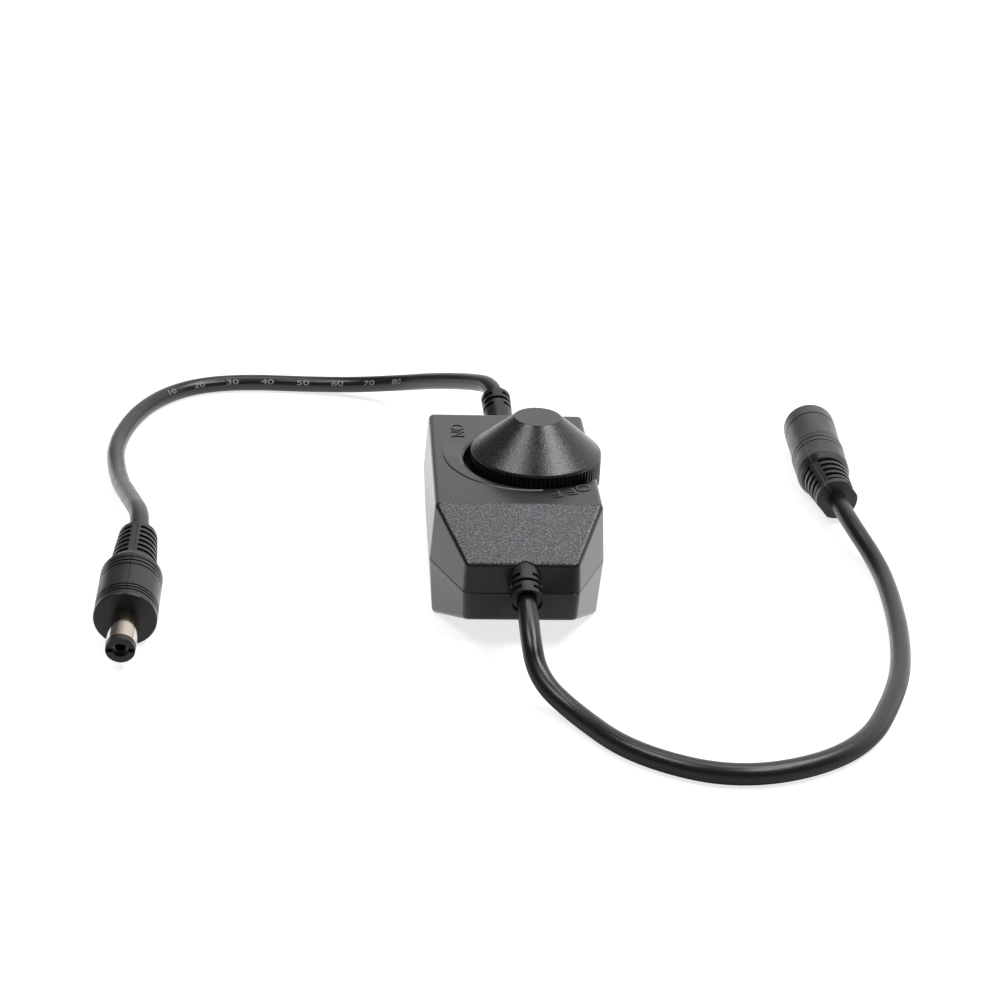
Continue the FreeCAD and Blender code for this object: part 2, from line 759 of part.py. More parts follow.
shaft_bar = cylinder("shaft_bar", "shaft_radius", f"{SHAFT_TOP} - ({WAFER_TOP}) - wiper_gap", "wheel_x", "0",
                     f"{WAFER_TOP} + wiper_gap")
shaft_side = box("shaft_side", "2 * shaft_radius", "4 * shaft_radius", "shaft_in_hub + 1",
                 f"wheel_x - ({FLAT}) - shaft_radius", "0", f"{WHEEL_BASE} - shaft_fit")
node(cut("pot_shaft", shaft_bar, [shaft_side]), "pot_shaft")
rotor_disc = cylinder("rotor_disc", "rotor_radius", "rotor_height", "wheel_x", "0",
                      f"{WAFER_TOP} + rotor_gap")
rotor_bore = cylinder("rotor_bore", "shaft_radius", "rotor_height", "wheel_x", "0",
                      f"{WAFER_TOP} + rotor_gap")
node(cut("pot_rotor", rotor_disc, [rotor_bore]), "pot_rotor")
wiper_disc = cylinder("wiper_disc", "wiper_radius", "rotor_gap - wiper_gap", "wheel_x", "0",
                      f"{WAFER_TOP} + wiper_gap")
wiper_bore = cylinder("wiper_hole", "wiper_bore", "rotor_gap - wiper_gap", "wheel_x", "0",
                      f"{WAFER_TOP} + wiper_gap")
node(cut("pot_wiper", wiper_disc, [wiper_bore]), "pot_wiper")

PIN_SPOTS = [("wheel_x - pin_row", f"{k} * pin_pitch") for k in (-1, 0, 1)]
SWITCH_SPOTS = [("wheel_x + switch_pin_row", f"{k} * switch_pin_pitch / 2") for k in (-1, 1)]
PIN_BOTTOM = "board_height - pin_tail"


def pins(name, spots, top):
    legs = [box(f"{name}_{i}", "pin_thickness", "pin_width", f"{top} - ({PIN_BOTTOM})", x, y, PIN_BOTTOM)
            for i, (x, y) in enumerate(spots)]
    return node(compound(name, legs), name)


pins("pot_terminals", PIN_SPOTS, WAFER_BOTTOM)
pins("switch_terminals", SWITCH_SPOTS, BOARD_TOP)

# Circuit board
board = new_body("board")
BOARD_X = "board_width / 2"
BOARD_Y = "board_length / 2"
SHORT_X = "(board_width / 2 - board_corner)"
SHORT_Y = "(board_length / 2 - board_corner)"
board_corners = [
    (BOARD_X, "-" + SHORT_Y), (BOARD_X, SHORT_Y), (SHORT_X, BOARD_Y), ("-" + SHORT_X, BOARD_Y),
    ("-" + BOARD_X, SHORT_Y), ("-" + BOARD_X, "-" + SHORT_Y), ("-" + SHORT_X, "-" + BOARD_Y),
    (SHORT_X, "-" + BOARD_Y)]
board_plan = polygon(board, "board_plan", "XY_Plane", board_corners, "board_height")
pad(board, "board_pad", board_plan, "board_thickness")
board_tools = four(cylinder, "board_hole", "screw_radius + board_hole_gap", "3 * board_thickness",
                   z="board_height - board_thickness")
board_tools += [cylinder(f"pin_hole_{i}", "pin_hole", "3 * board_thickness", x, y,
                         "board_height - board_thickness")
                for i, (x, y) in enumerate(PIN_SPOTS + SWITCH_SPOTS)]
node(cut("circuit_board", board, board_tools), "circuit_board")

# Parts on the board
chip_body = box("chip_body", "chip_width", "chip_length", "chip_height", "-chip_x", "-chip_y",
                f"{BOARD_TOP} + lead")
chip_leads = [box(f"chip_lead_{i}", "chip_width + 2 * chip_lead", "chip_lead_width", "lead", "-chip_x",
                  f"{i - 1.5} * chip_pitch - chip_y", BOARD_TOP) for i in range(4)]
node(fuse("timer_chip", [chip_body] + chip_leads), "timer_chip")
fet_body = box("fet_body", "fet_width", "fet_length", "fet_height", "-fet_x", "fet_y", BOARD_TOP)
fet_tab = box("fet_tab_plate", "0.8 * fet_width", "2 * fet_tab", "2 * lead", "-fet_x",
              "fet_y - fet_length / 2", BOARD_TOP)
fet_leads = [box(f"fet_lead_{i}", "fet_lead_width", "2 * fet_lead", "2 * lead",
                 f"{k} * fet_width / 3 - fet_x", "fet_y + fet_length / 2", BOARD_TOP)
             for i, k in enumerate((-1, 1))]
node(fuse("power_transistor", [fet_body, fet_tab] + fet_leads), "power_transistor")
CAPACITOR_SPOT = ("-capacitor_x", "-capacitor_y")
can_body = cylinder("capacitor_body", "capacitor_radius", "capacitor_height", *CAPACITOR_SPOT, BOARD_TOP)
crimp_disc = cylinder("crimp_disc", "capacitor_radius + crimp_depth", "crimp_height", *CAPACITOR_SPOT,
                      f"{BOARD_TOP} + crimp_foot")
crimp_core = cylinder("crimp_core", "capacitor_radius - crimp_depth", "crimp_height", *CAPACITOR_SPOT,
                      f"{BOARD_TOP} + crimp_foot")
node(cut("bulk_capacitor", can_body, [cut("capacitor_crimp", crimp_disc, [crimp_core])]), "bulk_capacitor")
diode_body = box("diode_body", "diode_length", "diode_width", "diode_height", "-diode_x", "diode_y",
                 f"{BOARD_TOP} + lead")
diode_leads = box("diode_leads", "diode_length + 2 * diode_lead", "diode_lead_width", "lead", "-diode_x",
                  "diode_y", BOARD_TOP)
node(fuse("flyback_diode", [diode_body, diode_leads]), "flyback_diode")


def small_parts(name, height, spots):
    """Surface-mounted blocks on a grid beyond the potentiometer: steps to the right, side, rows outwards."""
    blocks = [box(f"{name}_{i}", "small_length", "small_width", height, f"small_x + {step} * small_pitch",
                  f"{side}(small_y + {row} * small_row)", BOARD_TOP)
              for i, (step, side, row) in enumerate(spots)]
    return node(compound(name, blocks), name)


small_parts("chip_resistors", "resistor_height",
            [(0, "-", 0), (1, "-", 0), (1, "-", 1), (2, "-", 1), (-1, "", 0), (0, "", 0)])
small_parts("chip_capacitors", "ceramic_height", [(2, "-", 0), (1, "", 0), (2, "", 0)])

# Strain reliefs: an arch neck in the wall, a flange behind it, and a slotted sleeve that leans with the lead
for end, sign, x in ENDS:
    name = "input_relief" if end == "front" else "output_relief"
    neck = arch(f"{name}_neck", sign, x, "relief_radius - neck_step", NECK_START,
                "wall + flange_gap - neck_inset", "lower_height")
    flange = box(f"{name}_flange", "flange_width", "flange_depth", "flange_top - flange_bottom", x,
                 f"{sign}({NECK_START} - flange_depth / 2)", "flange_bottom")
    plain = "0" if end == "front" else "back_relief_plain"
    sleeve = cone(f"{name}_cone", "relief_radius", "relief_end_radius", f"relief_length + {plain}")
    openings = slots(f"{name}_slots", 3, f"{plain} + relief_first_slot", "relief_slot_pitch", "relief_slot",
                     "relief_end_radius", "cord_radius + slot_core_gap", "relief_web", crossed=(1,))
    openings.append(cylinder(f"{name}_mouth", "cord_radius + mouth_gap", "relief_length",
                             z=f"relief_length + {plain} - mouth_depth"))
    knuckle = sphere(f"{name}_knuckle", "relief_radius")
    bend = cut(f"{name}_bend", fuse(f"{name}_blank", [sleeve, knuckle]), openings)
    lift, heading = ("-relief_droop", "180") if end == "front" else ("relief_lift", "back_relief_turn")
    aim(bend, x, f"{sign}shell_length / 2", "relief_height", lift=lift, heading=heading)
    node(fuse(name, neck + [flange, bend]), name)

# Wires from each strain relief to the board
board_top = sizes["board_height"] + sizes["board_thickness"]
flange_y = sizes["shell_length"] / 2 - sizes["wall"] - sizes["flange_gap"] - sizes["flange_depth"]
pad_y = sizes["shell_length"] / 2 - sizes["wall"] - sizes["board_end_gap"] - sizes["pad_inset"]
for end, sign, relief_x in (("input", -1, sizes["relief_x"]), ("output", 1, sizes["back_relief_x"])):
    for i, colour in enumerate(("black", "red")):
        start_x = relief_x + (i - 0.5) * sizes["wire_spacing"]
        pad_x = sizes["pad_x"] + i * sizes["pad_pitch"]
        tube(f"{end}_{colour}_wire", [
            (start_x, sign * flange_y, sizes["relief_height"]),
            (start_x, sign * (flange_y - sizes["wire_straight"]), sizes["relief_height"]),
            ((start_x + pad_x) / 2, sign * (pad_y + sizes["wire_slant"]), board_top + sizes["wire_crest"]),
            (pad_x, sign * pad_y, board_top + sizes["wire_rise"]),
            (pad_x, sign * pad_y, board_top)], sizes["wire_radius"])

# Plug: moulded grip and slotted boot in one, round a barrel with an insulated centre contact
# Each piece is made along Z, from the grip's face towards the boot, and then laid down.
PLUG_Z = "plug_radius * cos(plug_tilt) + floor_gap"
BORE = "barrel_radius - barrel_wall"


def lay_plug(obj, name):
    aim(obj, "plug_x", "plug_y", PLUG_Z, lift="plug_tilt", heading="plug_turn")
    return node(obj, name)


plug = new_body("plug_blank")
plug_section = polygon(plug, "plug_section", "XZ_Plane", [
    ("0", "0"), ("plug_radius", "0"), ("plug_radius", "plug_body_length - plug_shoulder"),
    ("boot_radius", "plug_body_length"), ("boot_end_radius", "plug_length"), ("0", "plug_length")])
plug_solid = revolve(plug, "plug_solid", plug_section)
plug_face = fillet(plug, "plug_face_round", plug_solid, "rim_round",
                   lambda edge: edge.BoundBox.ZMax < 0.01 and edge.BoundBox.XLength > 1)
fillet(plug, "plug_shoulder_round", plug_face, "shoulder_round",
       lambda edge: abs(edge.BoundBox.ZMin - sizes["plug_body_length"] + sizes["plug_shoulder"]) < 0.01
       and edge.BoundBox.ZLength < 0.01)
plug_tools = [ring(f"plug_ring_{i}", "plug_radius + 1", "plug_radius - ring_depth", "ring_width",
                   f"{start} + {i % 3} * {pitch} - ring_width / 2")
              for i, (start, pitch) in enumerate(3 * [("plug_front_ring", "plug_front_pitch")]
                                                 + 3 * [("plug_rear_ring", "plug_rear_pitch")])]
plug_tools += slots("plug_slots", sizes["plug_slot_count"], "(plug_body_length + plug_first_slot)",
                    "plug_slot_pitch", "plug_slot", "plug_radius", "plug_core", "plug_rib")
plug_tools.append(cylinder("plug_bore", BORE, "barrel_tail + 1", z="-1"))
lay_plug(cut("plug_body", plug, plug_tools), "plug_body")

EXPOSED = "(barrel_length - tip_length)"
barrel_front = cylinder("barrel_front", "barrel_radius", EXPOSED, z=f"-{EXPOSED}")
barrel_back = cylinder("barrel_back", BORE, "barrel_tail")
barrel_bores = [cylinder("barrel_front_bore", BORE, f"{EXPOSED} - barrel_wall", z=f"-{EXPOSED}"),
                cylinder("barrel_back_bore", f"{BORE} - barrel_wall", "barrel_tail + 2", z="-1")]
lay_plug(cut("plug_barrel", fuse("barrel_walls", [barrel_front, barrel_back]), barrel_bores), "plug_barrel")
insulator_parts = [
    cylinder("insulator_tip", "barrel_radius - tip_step", "tip_length", z="-barrel_length"),
    cylinder("insulator_front", BORE, f"{EXPOSED} - barrel_wall", z=f"-{EXPOSED}"),
    cylinder("insulator_back", f"{BORE} - barrel_wall", "barrel_tail + barrel_wall", z="-barrel_wall")]
insulator_tools = [
    cylinder("insulator_bore", "barrel_bore + contact_wall", "barrel_length + barrel_tail - 1",
             z="-barrel_length"),
    box("insulator_keyway", "2 * (barrel_radius - barrel_wall)", "keyway", "tip_length / 2",
        z="-barrel_length"),
]
lay_plug(cut("plug_insulator", fuse("insulator_walls", insulator_parts), insulator_tools), "plug_insulator")
lay_plug(ring("plug_contact", "barrel_bore + contact_wall", "barrel_bore",
              "barrel_length + barrel_tail - 1 - contact_set_back", "contact_set_back - barrel_length"),
         "plug_contact")

# Socket: moulded grip and slotted boot in one, round a liner with a centre pin and a spring strip
# Each piece is made along Z, from the mouth towards the boot, and then laid down. The soft boot follows its
# lead and turns a little at the grip's shoulder, so it is made from there on, in its own direction.
SOCKET_Z = "socket_radius + floor_gap"
JACK_OUTER = "(jack_radius + jack_wall)"


def aim_socket(obj):
    return aim(obj, "socket_x", "socket_y", SOCKET_Z, roll="socket_roll", heading="180 + socket_turn")


def lay_socket(obj, name):
    return node(aim_socket(obj), name)


socket = new_body("socket_blank")
WAIST = "(socket_ring - ring_width)"
socket_section = polygon(socket, "socket_section", "XZ_Plane", [
    ("0", "0"), ("socket_mouth_radius", "0"), ("socket_mouth_radius", "socket_lip"),
    ("socket_waist_radius", WAIST), ("socket_radius", f"{WAIST} + socket_radius - socket_waist_radius"),
    ("socket_back_radius", "socket_body_length - socket_shoulder"),
    ("socket_boot_radius", "socket_body_length"), ("0", "socket_body_length")])
socket_solid = revolve(socket, "socket_solid", socket_section)
socket_face = fillet(socket, "socket_face_round", socket_solid, "rim_round",
                     lambda edge: edge.BoundBox.ZMax < 0.01 and edge.BoundBox.XLength > 1)
fillet(socket, "socket_shoulder_round", socket_face, "shoulder_round",
       lambda edge: abs(edge.BoundBox.ZMin - sizes["socket_body_length"] + sizes["socket_shoulder"]) < 0.01
       and edge.BoundBox.ZLength < 0.01)
grip_tools = [ring(f"socket_ring_{i}", "socket_radius + 1", "socket_radius - ring_depth", "ring_width",
                   f"socket_ring + {i} * socket_ring_pitch - ring_width / 2") for i in range(3)]
grip_tools.append(ring("socket_lip_ring", "socket_radius + 1", "socket_mouth_radius - ring_depth",
                       "ring_width", "socket_lip"))
grip_tools.append(cylinder("socket_bore", JACK_OUTER, "jack_depth + jack_base + 1", z="-1"))
grip = aim_socket(cut("socket_grip", socket, grip_tools))

BOOT_LENGTH = "(socket_length - socket_bend)"
COLLAR = f"({BOOT_LENGTH} - socket_collar)"
boot_start = cylinder("boot_start", "socket_boot_radius - socket_bend_step",
                      "socket_body_length - socket_bend")
boot_cone = cone("boot_cone", "socket_boot_radius - socket_bend_step", "socket_boot_end",
                 f"{COLLAR} - socket_body_length + socket_bend", z="socket_body_length - socket_bend")
collar = common("collar", [
    cylinder("collar_disc", "socket_collar_radius", "socket_collar", z=COLLAR),
    box("collar_flats", "2 * socket_flat", "3 * socket_collar_radius", "socket_collar", z=COLLAR)])
boot = cut("socket_boot", fuse("boot_walls", [boot_start, boot_cone, collar]),
           slots("socket_slots", sizes["socket_slot_count"], "socket_first_slot", "socket_slot_pitch",
                 "socket_slot", "socket_radius", "socket_core", "socket_rib"))
aim(boot, "socket_x - socket_bend * sin(socket_turn)", "socket_y - socket_bend * cos(socket_turn)", SOCKET_Z,
    roll="socket_roll", heading="180 + socket_boot_turn")
node(fuse("socket_body", [grip, boot]), "socket_body")

liner_blank = cylinder("liner_blank", JACK_OUTER, "jack_depth + jack_base - jack_set_back", z="jack_set_back")
liner_tools = [
    cylinder("liner_bore", "jack_radius", "jack_depth", z="0"),
    cylinder("liner_pin_hole", "jack_pin_root", "jack_depth + jack_base", z="jack_set_back"),
    box("strip_slot", "strip_width", "strip_thickness + 2 * strip_seat", "jack_depth - strip_set_back",
        y="jack_radius + strip_thickness / 2 - strip_seat", z="strip_set_back")]
lay_socket(cut("socket_liner", liner_blank, liner_tools), "socket_liner")
pin_bar = cylinder("pin_bar", "jack_pin_radius", "jack_depth - jack_pin_set_back - rim_round",
                   z="jack_pin_set_back + rim_round")
pin_root = cylinder("pin_root", "jack_pin_root", "jack_base", z="jack_depth")
pin_nose = cone("pin_nose", "jack_pin_radius - rim_round", "jack_pin_radius", "rim_round",
                z="jack_pin_set_back")
lay_socket(fuse("socket_centre_pin", [pin_root, pin_bar, pin_nose]), "socket_centre_pin")
strip = box("strip_blank", "strip_width", "strip_thickness", "jack_depth - strip_set_back",
            y="jack_radius + strip_thickness / 2", z="strip_set_back")
strip_bore = cylinder("strip_bore", "jack_radius", "jack_depth")
lay_socket(cut("socket_contact", strip, [strip_bore]), "socket_contact")

# Leads, on the table except where they leave a strain relief or a boot
tube("input_cord", [
    (0.45, -41.102, 13.299), (0.45, -49.023, 11.177), (1.8, -54.8, 5.0), (7.6, -61.4, 1.95),
    (16.9, -75.6, 1.95), (35.0, -83.5, 1.95), (56.8, -74.5, 1.95), (68.1, -52.5, 1.95),
    (72.4, -36.4, 1.95), (74.8, -18.4, 1.95), (75.3, -3.5, 2.4), (71.582, 11.428, 5.82),
    (71.285, 19.923, 5.82)], sizes["cord_radius"])
tube("output_cord", [
    (-0.453, 44.14, 17.28), (-0.714, 49.13, 18.71), (-4.5, 58.0, 16.1), (-12.5, 71.0, 10.95),
    (-21.0, 82.5, 5.5), (-35.5, 89.2, 1.95), (-64.5, 90.9, 1.95), (-78.7, 78.5, 1.95),
    (-84.4, 54.3, 1.95), (-81.5, 33.0, 2.6), (-76.0, 11.0, 7.6), (-72.985, -0.751, 10.044),
    (-72.944, -8.695, 9.097)], sizes["cord_radius"])

doc.recompute()
for obj in doc.Objects:
    if "Invalid" in obj.State or "Error" in obj.State:
        raise RuntimeError(f"{obj.Name} did not recompute")
os.makedirs("parts", exist_ok=True)
for obj in nodes:
    if obj.Shape.isNull() or not obj.Shape.isValid():
        raise RuntimeError(f"{obj.Label} has no valid shape")
    obj.Shape.exportStep(f"parts/{obj.Label}.step")
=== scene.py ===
import math

import bmesh
import bpy
from mathutils import Matrix, Vector


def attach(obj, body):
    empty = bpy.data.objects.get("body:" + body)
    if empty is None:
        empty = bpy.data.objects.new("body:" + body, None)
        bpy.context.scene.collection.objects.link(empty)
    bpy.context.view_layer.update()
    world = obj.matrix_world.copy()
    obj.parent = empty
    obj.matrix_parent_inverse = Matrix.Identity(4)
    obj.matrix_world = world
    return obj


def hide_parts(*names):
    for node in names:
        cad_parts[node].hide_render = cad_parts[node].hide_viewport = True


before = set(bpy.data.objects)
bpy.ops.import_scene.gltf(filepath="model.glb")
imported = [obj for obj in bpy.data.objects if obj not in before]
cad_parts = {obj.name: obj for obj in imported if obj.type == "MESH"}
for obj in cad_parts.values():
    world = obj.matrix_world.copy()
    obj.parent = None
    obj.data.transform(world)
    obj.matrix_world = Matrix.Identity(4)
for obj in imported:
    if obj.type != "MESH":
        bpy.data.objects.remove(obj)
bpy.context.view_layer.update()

scene = bpy.context.scene
scene.view_settings.view_transform = "Standard"
MM = 0.001

# The camera stands in front of the socket's lead, a little left of the housing, and looks down at it.
PITCH, YAW, ROLL = (math.radians(a) for a in (25.11, 4.53, 2.66))
ahead = Vector((math.sin(YAW) * math.cos(PITCH), math.cos(YAW) * math.cos(PITCH), -math.sin(PITCH)))
right = Vector((math.cos(YAW), -math.sin(YAW), 0))
above = right.cross(ahead)
across = math.cos(ROLL) * right + math.sin(ROLL) * above
upward = math.cos(ROLL) * above - math.sin(ROLL) * right
camera = bpy.data.objects.new("camera", bpy.data.cameras.new("camera"))
camera.data.lens = 75.39
camera.data.sensor_width = 36
camera.data.clip_start = 0.01
camera.matrix_world = Matrix.Translation(Vector((-31.96, -377.46, 191.55)) * MM) @ Matrix(
    (across, upward, -ahead)).transposed().to_4x4()
scene.collection.objects.link(camera)
scene.camera = camera


# Leads
# The points are those of the solids, in millimetres, so that each lead lies where its solid does.
LEAD = 3.8


def lead(name, points):
    """A round lead along one smooth spline."""
    curve = bpy.data.curves.new(name, "CURVE")
    curve.dimensions = "3D"
    spline = curve.splines.new("NURBS")
    spline.points.add(len(points) - 1)
    for knot, point in zip(spline.points, points):
        knot.co = (*(c * MM for c in point), 1)
        knot.radius = LEAD / 2 * MM
    spline.order_u = 3
    spline.use_endpoint_u = True
    spline.resolution_u = 16
    curve.bevel_depth = 1
    curve.bevel_resolution = 8
    curve.use_fill_caps = True
    piece = bpy.data.objects.new(name, curve)
    scene.collection.objects.link(piece)
    return piece


def flat_text(text, height, rise):
    """Plain characters as a closed mesh, face up, with their middle at the origin."""
    curve = bpy.data.curves.new("characters", "FONT")
    curve.body = text
    curve.size = height * MM
    curve.align_x = "CENTER"
    curve.align_y = "CENTER"
    curve.resolution_u = 6
    curve.extrude = rise / 2 * MM
    built = bpy.data.objects.new("characters", curve)
    scene.collection.objects.link(built)
    bpy.context.view_layer.update()
    mesh = bpy.data.meshes.new_from_object(built.evaluated_get(bpy.context.evaluated_depsgraph_get()))
    bpy.data.objects.remove(built)
    mesh.materials.clear()
    return mesh


def print_on(cord_piece, name, text, middle, height, wide, facing):
    """Characters printed round the side of a lead that faces a given way, read towards the lead's start.
    middle is how far along the lead their middle lies, in millimetres, and wide stretches them along it."""
    bare = cord_piece.data.copy()
    bare.bevel_depth = 0
    route = bpy.data.objects.new("route", bare)
    scene.collection.objects.link(route)
    bpy.context.view_layer.update()
    line = bpy.data.meshes.new_from_object(route.evaluated_get(bpy.context.evaluated_depsgraph_get()))
    bpy.data.objects.remove(route)
    stops = [v.co.copy() for v in line.vertices]
    runs = [(b - a).length for a, b in zip(stops, stops[1:])]
    mesh = flat_text(text, height, 0.03)
    mesh.transform(Matrix.Diagonal((wide, 1, 1, 1)))
    shape = bmesh.new()
    shape.from_mesh(mesh)
    bmesh.ops.triangulate(shape, faces=shape.faces)
    for _ in range(3):
        long_edges = [edge for edge in shape.edges if edge.calc_length() > 0.25 * MM]
        bmesh.ops.subdivide_edges(shape, edges=long_edges, cuts=1)
    bmesh.ops.triangulate(shape, faces=shape.faces)
    for vertex in shape.verts:
        left = middle * MM - vertex.co.x
        i = 0
        while i < len(runs) - 1 and left > runs[i]:
            left -= runs[i]
            i += 1
        ahead_here = (stops[i + 1] - stops[i]).normalized()
        out = (Vector(facing) - ahead_here * ahead_here.dot(Vector(facing))).normalized()
        radius = (LEAD / 2 + 0.02) * MM + vertex.co.z
        angle = vertex.co.y / radius
        vertex.co = stops[i] + ahead_here * left + radius * (
            math.cos(angle) * out + math.sin(angle) * ahead_here.cross(out))
    bmesh.ops.recalc_face_normals(shape, faces=shape.faces)
    shape.to_mesh(mesh)
    shape.free()
    piece = bpy.data.objects.new(name, mesh)
    scene.collection.objects.link(piece)
    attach(piece, "housing")
    return piece


socket_lead = lead("socket_lead", [
    (0.45, -41.102, 13.299), (0.45, -49.023, 11.177), (1.8, -54.8, 5.0), (7.6, -61.4, 1.95),
    (16.9, -75.6, 1.95), (35.0, -83.5, 1.95), (56.8, -74.5, 1.95), (68.1, -52.5, 1.95),
    (72.4, -36.4, 1.95), (74.8, -18.4, 1.95), (75.3, -3.5, 2.4), (71.582, 11.428, 5.82),
    (71.285, 19.923, 5.82)])
plug_lead = lead("plug_lead", [
    (-0.453, 44.14, 17.28), (-0.714, 49.13, 18.71), (-4.5, 58.0, 16.1), (-12.5, 71.0, 10.95),
    (-21.0, 82.5, 5.5), (-35.5, 89.2, 1.95), (-64.5, 90.9, 1.95), (-78.7, 78.5, 1.95),
    (-84.4, 54.3, 1.95), (-81.5, 33.0, 2.6), (-76.0, 11.0, 7.6), (-72.985, -0.751, 10.044),
    (-72.944, -8.695, 9.097)])
lead_print = print_on(plug_lead, "lead_print", "10      20      30      40      50      60      70      80",
                      middle=74, height=1.7, wide=1.9, facing=(0, -0.88, 0.47))
for piece, cad_name, far_end, on_it, start, length in (
        (socket_lead, "input_cord", "connector",
         ("socket_body", "socket_liner", "socket_centre_pin", "socket_contact"),
         (0.45, -41.102, 13.299), 182.0),
        (plug_lead, "output_cord", "plug",
         ("plug_body", "plug_barrel", "plug_insulator", "plug_contact"), (-0.453, 44.14, 17.28), 198.3)):
    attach(piece, "housing")
    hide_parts(cad_name)


# Materials
def paint(code):
    """An sRGB hex colour as the linear numbers that a shader reads."""
    parts = [int(code[i:i + 2], 16) / 255 for i in (1, 3, 5)]
    return [c / 12.92 if c <= 0.04045 else ((c + 0.055) / 1.055) ** 2.4 for c in parts] + [1]


def add(tree, kind, links=(), values=(), **settings):
    """Add a node with its properties, its links (input, node, output) and its constants (input, value)."""
    node = tree.nodes.new(kind)
    for key, value in settings.items():
        setattr(node, key, value)
    for socket, value in values:
        node.inputs[socket].default_value = value
    for socket, source, output in links:
        tree.links.new(source.outputs[output], node.inputs[socket])
    return node


def ramp(tree, source, output, none, full):
    """0 where the source is at none, 1 where it is at full, and straight between."""
    return add(tree, "ShaderNodeMapRange", [("Value", source, output)],
               [("From Min", none), ("From Max", full)])


def along(tree, source, direction):
    """How far the source's point lies along a direction."""
    return add(tree, "ShaderNodeVectorMath", [(0, source, 0)], [(1, tuple(direction))],
               operation="DOT_PRODUCT")


def times(tree, one, other):
    """The product of two values."""
    return add(tree, "ShaderNodeMath", [(0, one, 0), (1, other, 0)], operation="MULTIPLY")


def surface(name, colour, rough, grain=0.3, depth=0, metallic=0, patch=0, where=None, glint_colour=None, seams=()):
    """A moulded, pressed or plated surface. grain is the size of its texture and depth its height, in mm;
    patch is how much the roughness drifts over a few millimetres, as on handled or flow-marked plastic.
    where gives the share of the grain from place to place, the glint colour is painted on its high points
    as a painted glint where a lamp would catch them, and seams are the lines that the mould leaves."""
    material = bpy.data.materials.new(name)
    material.use_nodes = True
    tree = material.node_tree
    tree.nodes.clear()
    place = add(tree, "ShaderNodeTexCoord")
    spot = add(tree, "ShaderNodeVectorMath", [(0, place, "Object")], operation="ADD")
    drift = add(tree, "ShaderNodeTexNoise", [("Vector", spot, 0)], [("Scale", 1 / (5 * MM)), ("Detail", 3)])
    spread = add(tree, "ShaderNodeMapRange", [("Value", drift, "Fac")],
                 [("From Min", 0.3), ("From Max", 0.7), ("To Min", rough - patch), ("To Max", rough + patch)])
    pits = add(tree, "ShaderNodeTexNoise", [("Vector", spot, 0)],
               [("Scale", 1 / (grain * MM)), ("Detail", 1)])
    bump = add(tree, "ShaderNodeBump", [("Height", pits, "Fac")], [("Distance", depth * MM)])
    shader = add(tree, "ShaderNodeBsdfPrincipled", [("Roughness", spread, 0)],
                 [("Base Color", paint(colour)), ("Metallic", metallic)])
    if where:
        share = where(tree, spot)
        tree.links.new(share.outputs[0], bump.inputs["Strength"])
        # Painted glints: the grain's high points take the lighter glint colour, for the sparkle a lamp would
        # draw on them.
        painted_glints = times(tree, share, ramp(tree, pits, "Fac", 0.5, 0.66))
        glint_flecks = add(tree, "ShaderNodeMix", [("Factor", painted_glints, 0)], [(6, paint(colour)), (7, paint(glint_colour))],
                     data_type="RGBA")
        tree.links.new(glint_flecks.outputs[2], shader.inputs["Base Color"])
    for rise, *seam in seams:
        line = seam_line(tree, spot, *seam)
        bump = add(tree, "ShaderNodeBump", [("Height", line, 0), ("Normal", bump, 0)],
                   [("Distance", rise * MM)])
    tree.links.new(bump.outputs[0], shader.inputs["Normal"])
    add(tree, "ShaderNodeOutputMaterial", [("Surface", shader, 0)])
    return material


SEAM_HALF = 0.14


def seam_line(tree, spot, through, axis, outward, first, last):
    """The flash line that the two halves of a mould leave along one side of a round grip, 1 on the line.
    It runs from first to last millimetres along the axis, on the outward side of it."""
    axis, outward = Vector(axis).normalized(), Vector(outward).normalized()
    near = add(tree, "ShaderNodeVectorMath", [(0, spot, 0)], [(1, tuple(Vector(through) * MM))],
               operation="SUBTRACT")
    off_line = along(tree, near, axis.cross(outward))
    aside = add(tree, "ShaderNodeMath", [(0, off_line, "Value")], operation="ABSOLUTE")
    line = ramp(tree, aside, 0, SEAM_HALF * MM, SEAM_HALF / 3 * MM)
    run = along(tree, near, axis)
    begun = ramp(tree, run, "Value", first * MM, (first + 0.1) * MM)
    going = ramp(tree, run, "Value", (last + 0.1) * MM, last * MM)
    outer = ramp(tree, along(tree, near, outward), "Value", 0, MM)
    return times(tree, times(tree, line, outer), times(tree, begun, going))


SLOPE = math.atan2(6.1, 14.1)
SLOPE_LEVEL = (21.4 * math.sin(SLOPE) + 23.4 * math.cos(SLOPE)) * MM


def on_slopes(tree, spot):
    """The coarse spark texture covers the two end slopes; the other faces have a trace of it."""
    mirrored = add(tree, "ShaderNodeVectorMath", [(0, spot, 0)], operation="ABSOLUTE")
    level = along(tree, mirrored, (0, math.sin(SLOPE), math.cos(SLOPE)))
    mask = ramp(tree, level, "Value", SLOPE_LEVEL - 0.14 * MM, SLOPE_LEVEL - 0.04 * MM)
    mask.inputs["To Min"].default_value = 0.03
    return mask


CONE_MIDDLE = 28.7
CONE_HALF = 3.35


def on_cone(tree, spot):
    """The wheel's cone is spark textured; its flat top and its rim are smooth."""
    height = along(tree, spot, (0, 0, 1))
    offset = add(tree, "ShaderNodeMath", [(0, height, "Value")], [(1, CONE_MIDDLE * MM)],
                 operation="SUBTRACT")
    away = add(tree, "ShaderNodeMath", [(0, offset, 0)], operation="ABSOLUTE")
    mask = ramp(tree, away, 0, (CONE_HALF + 0.15) * MM, CONE_HALF * MM)
    mask.inputs["To Min"].default_value = 0.03
    return mask


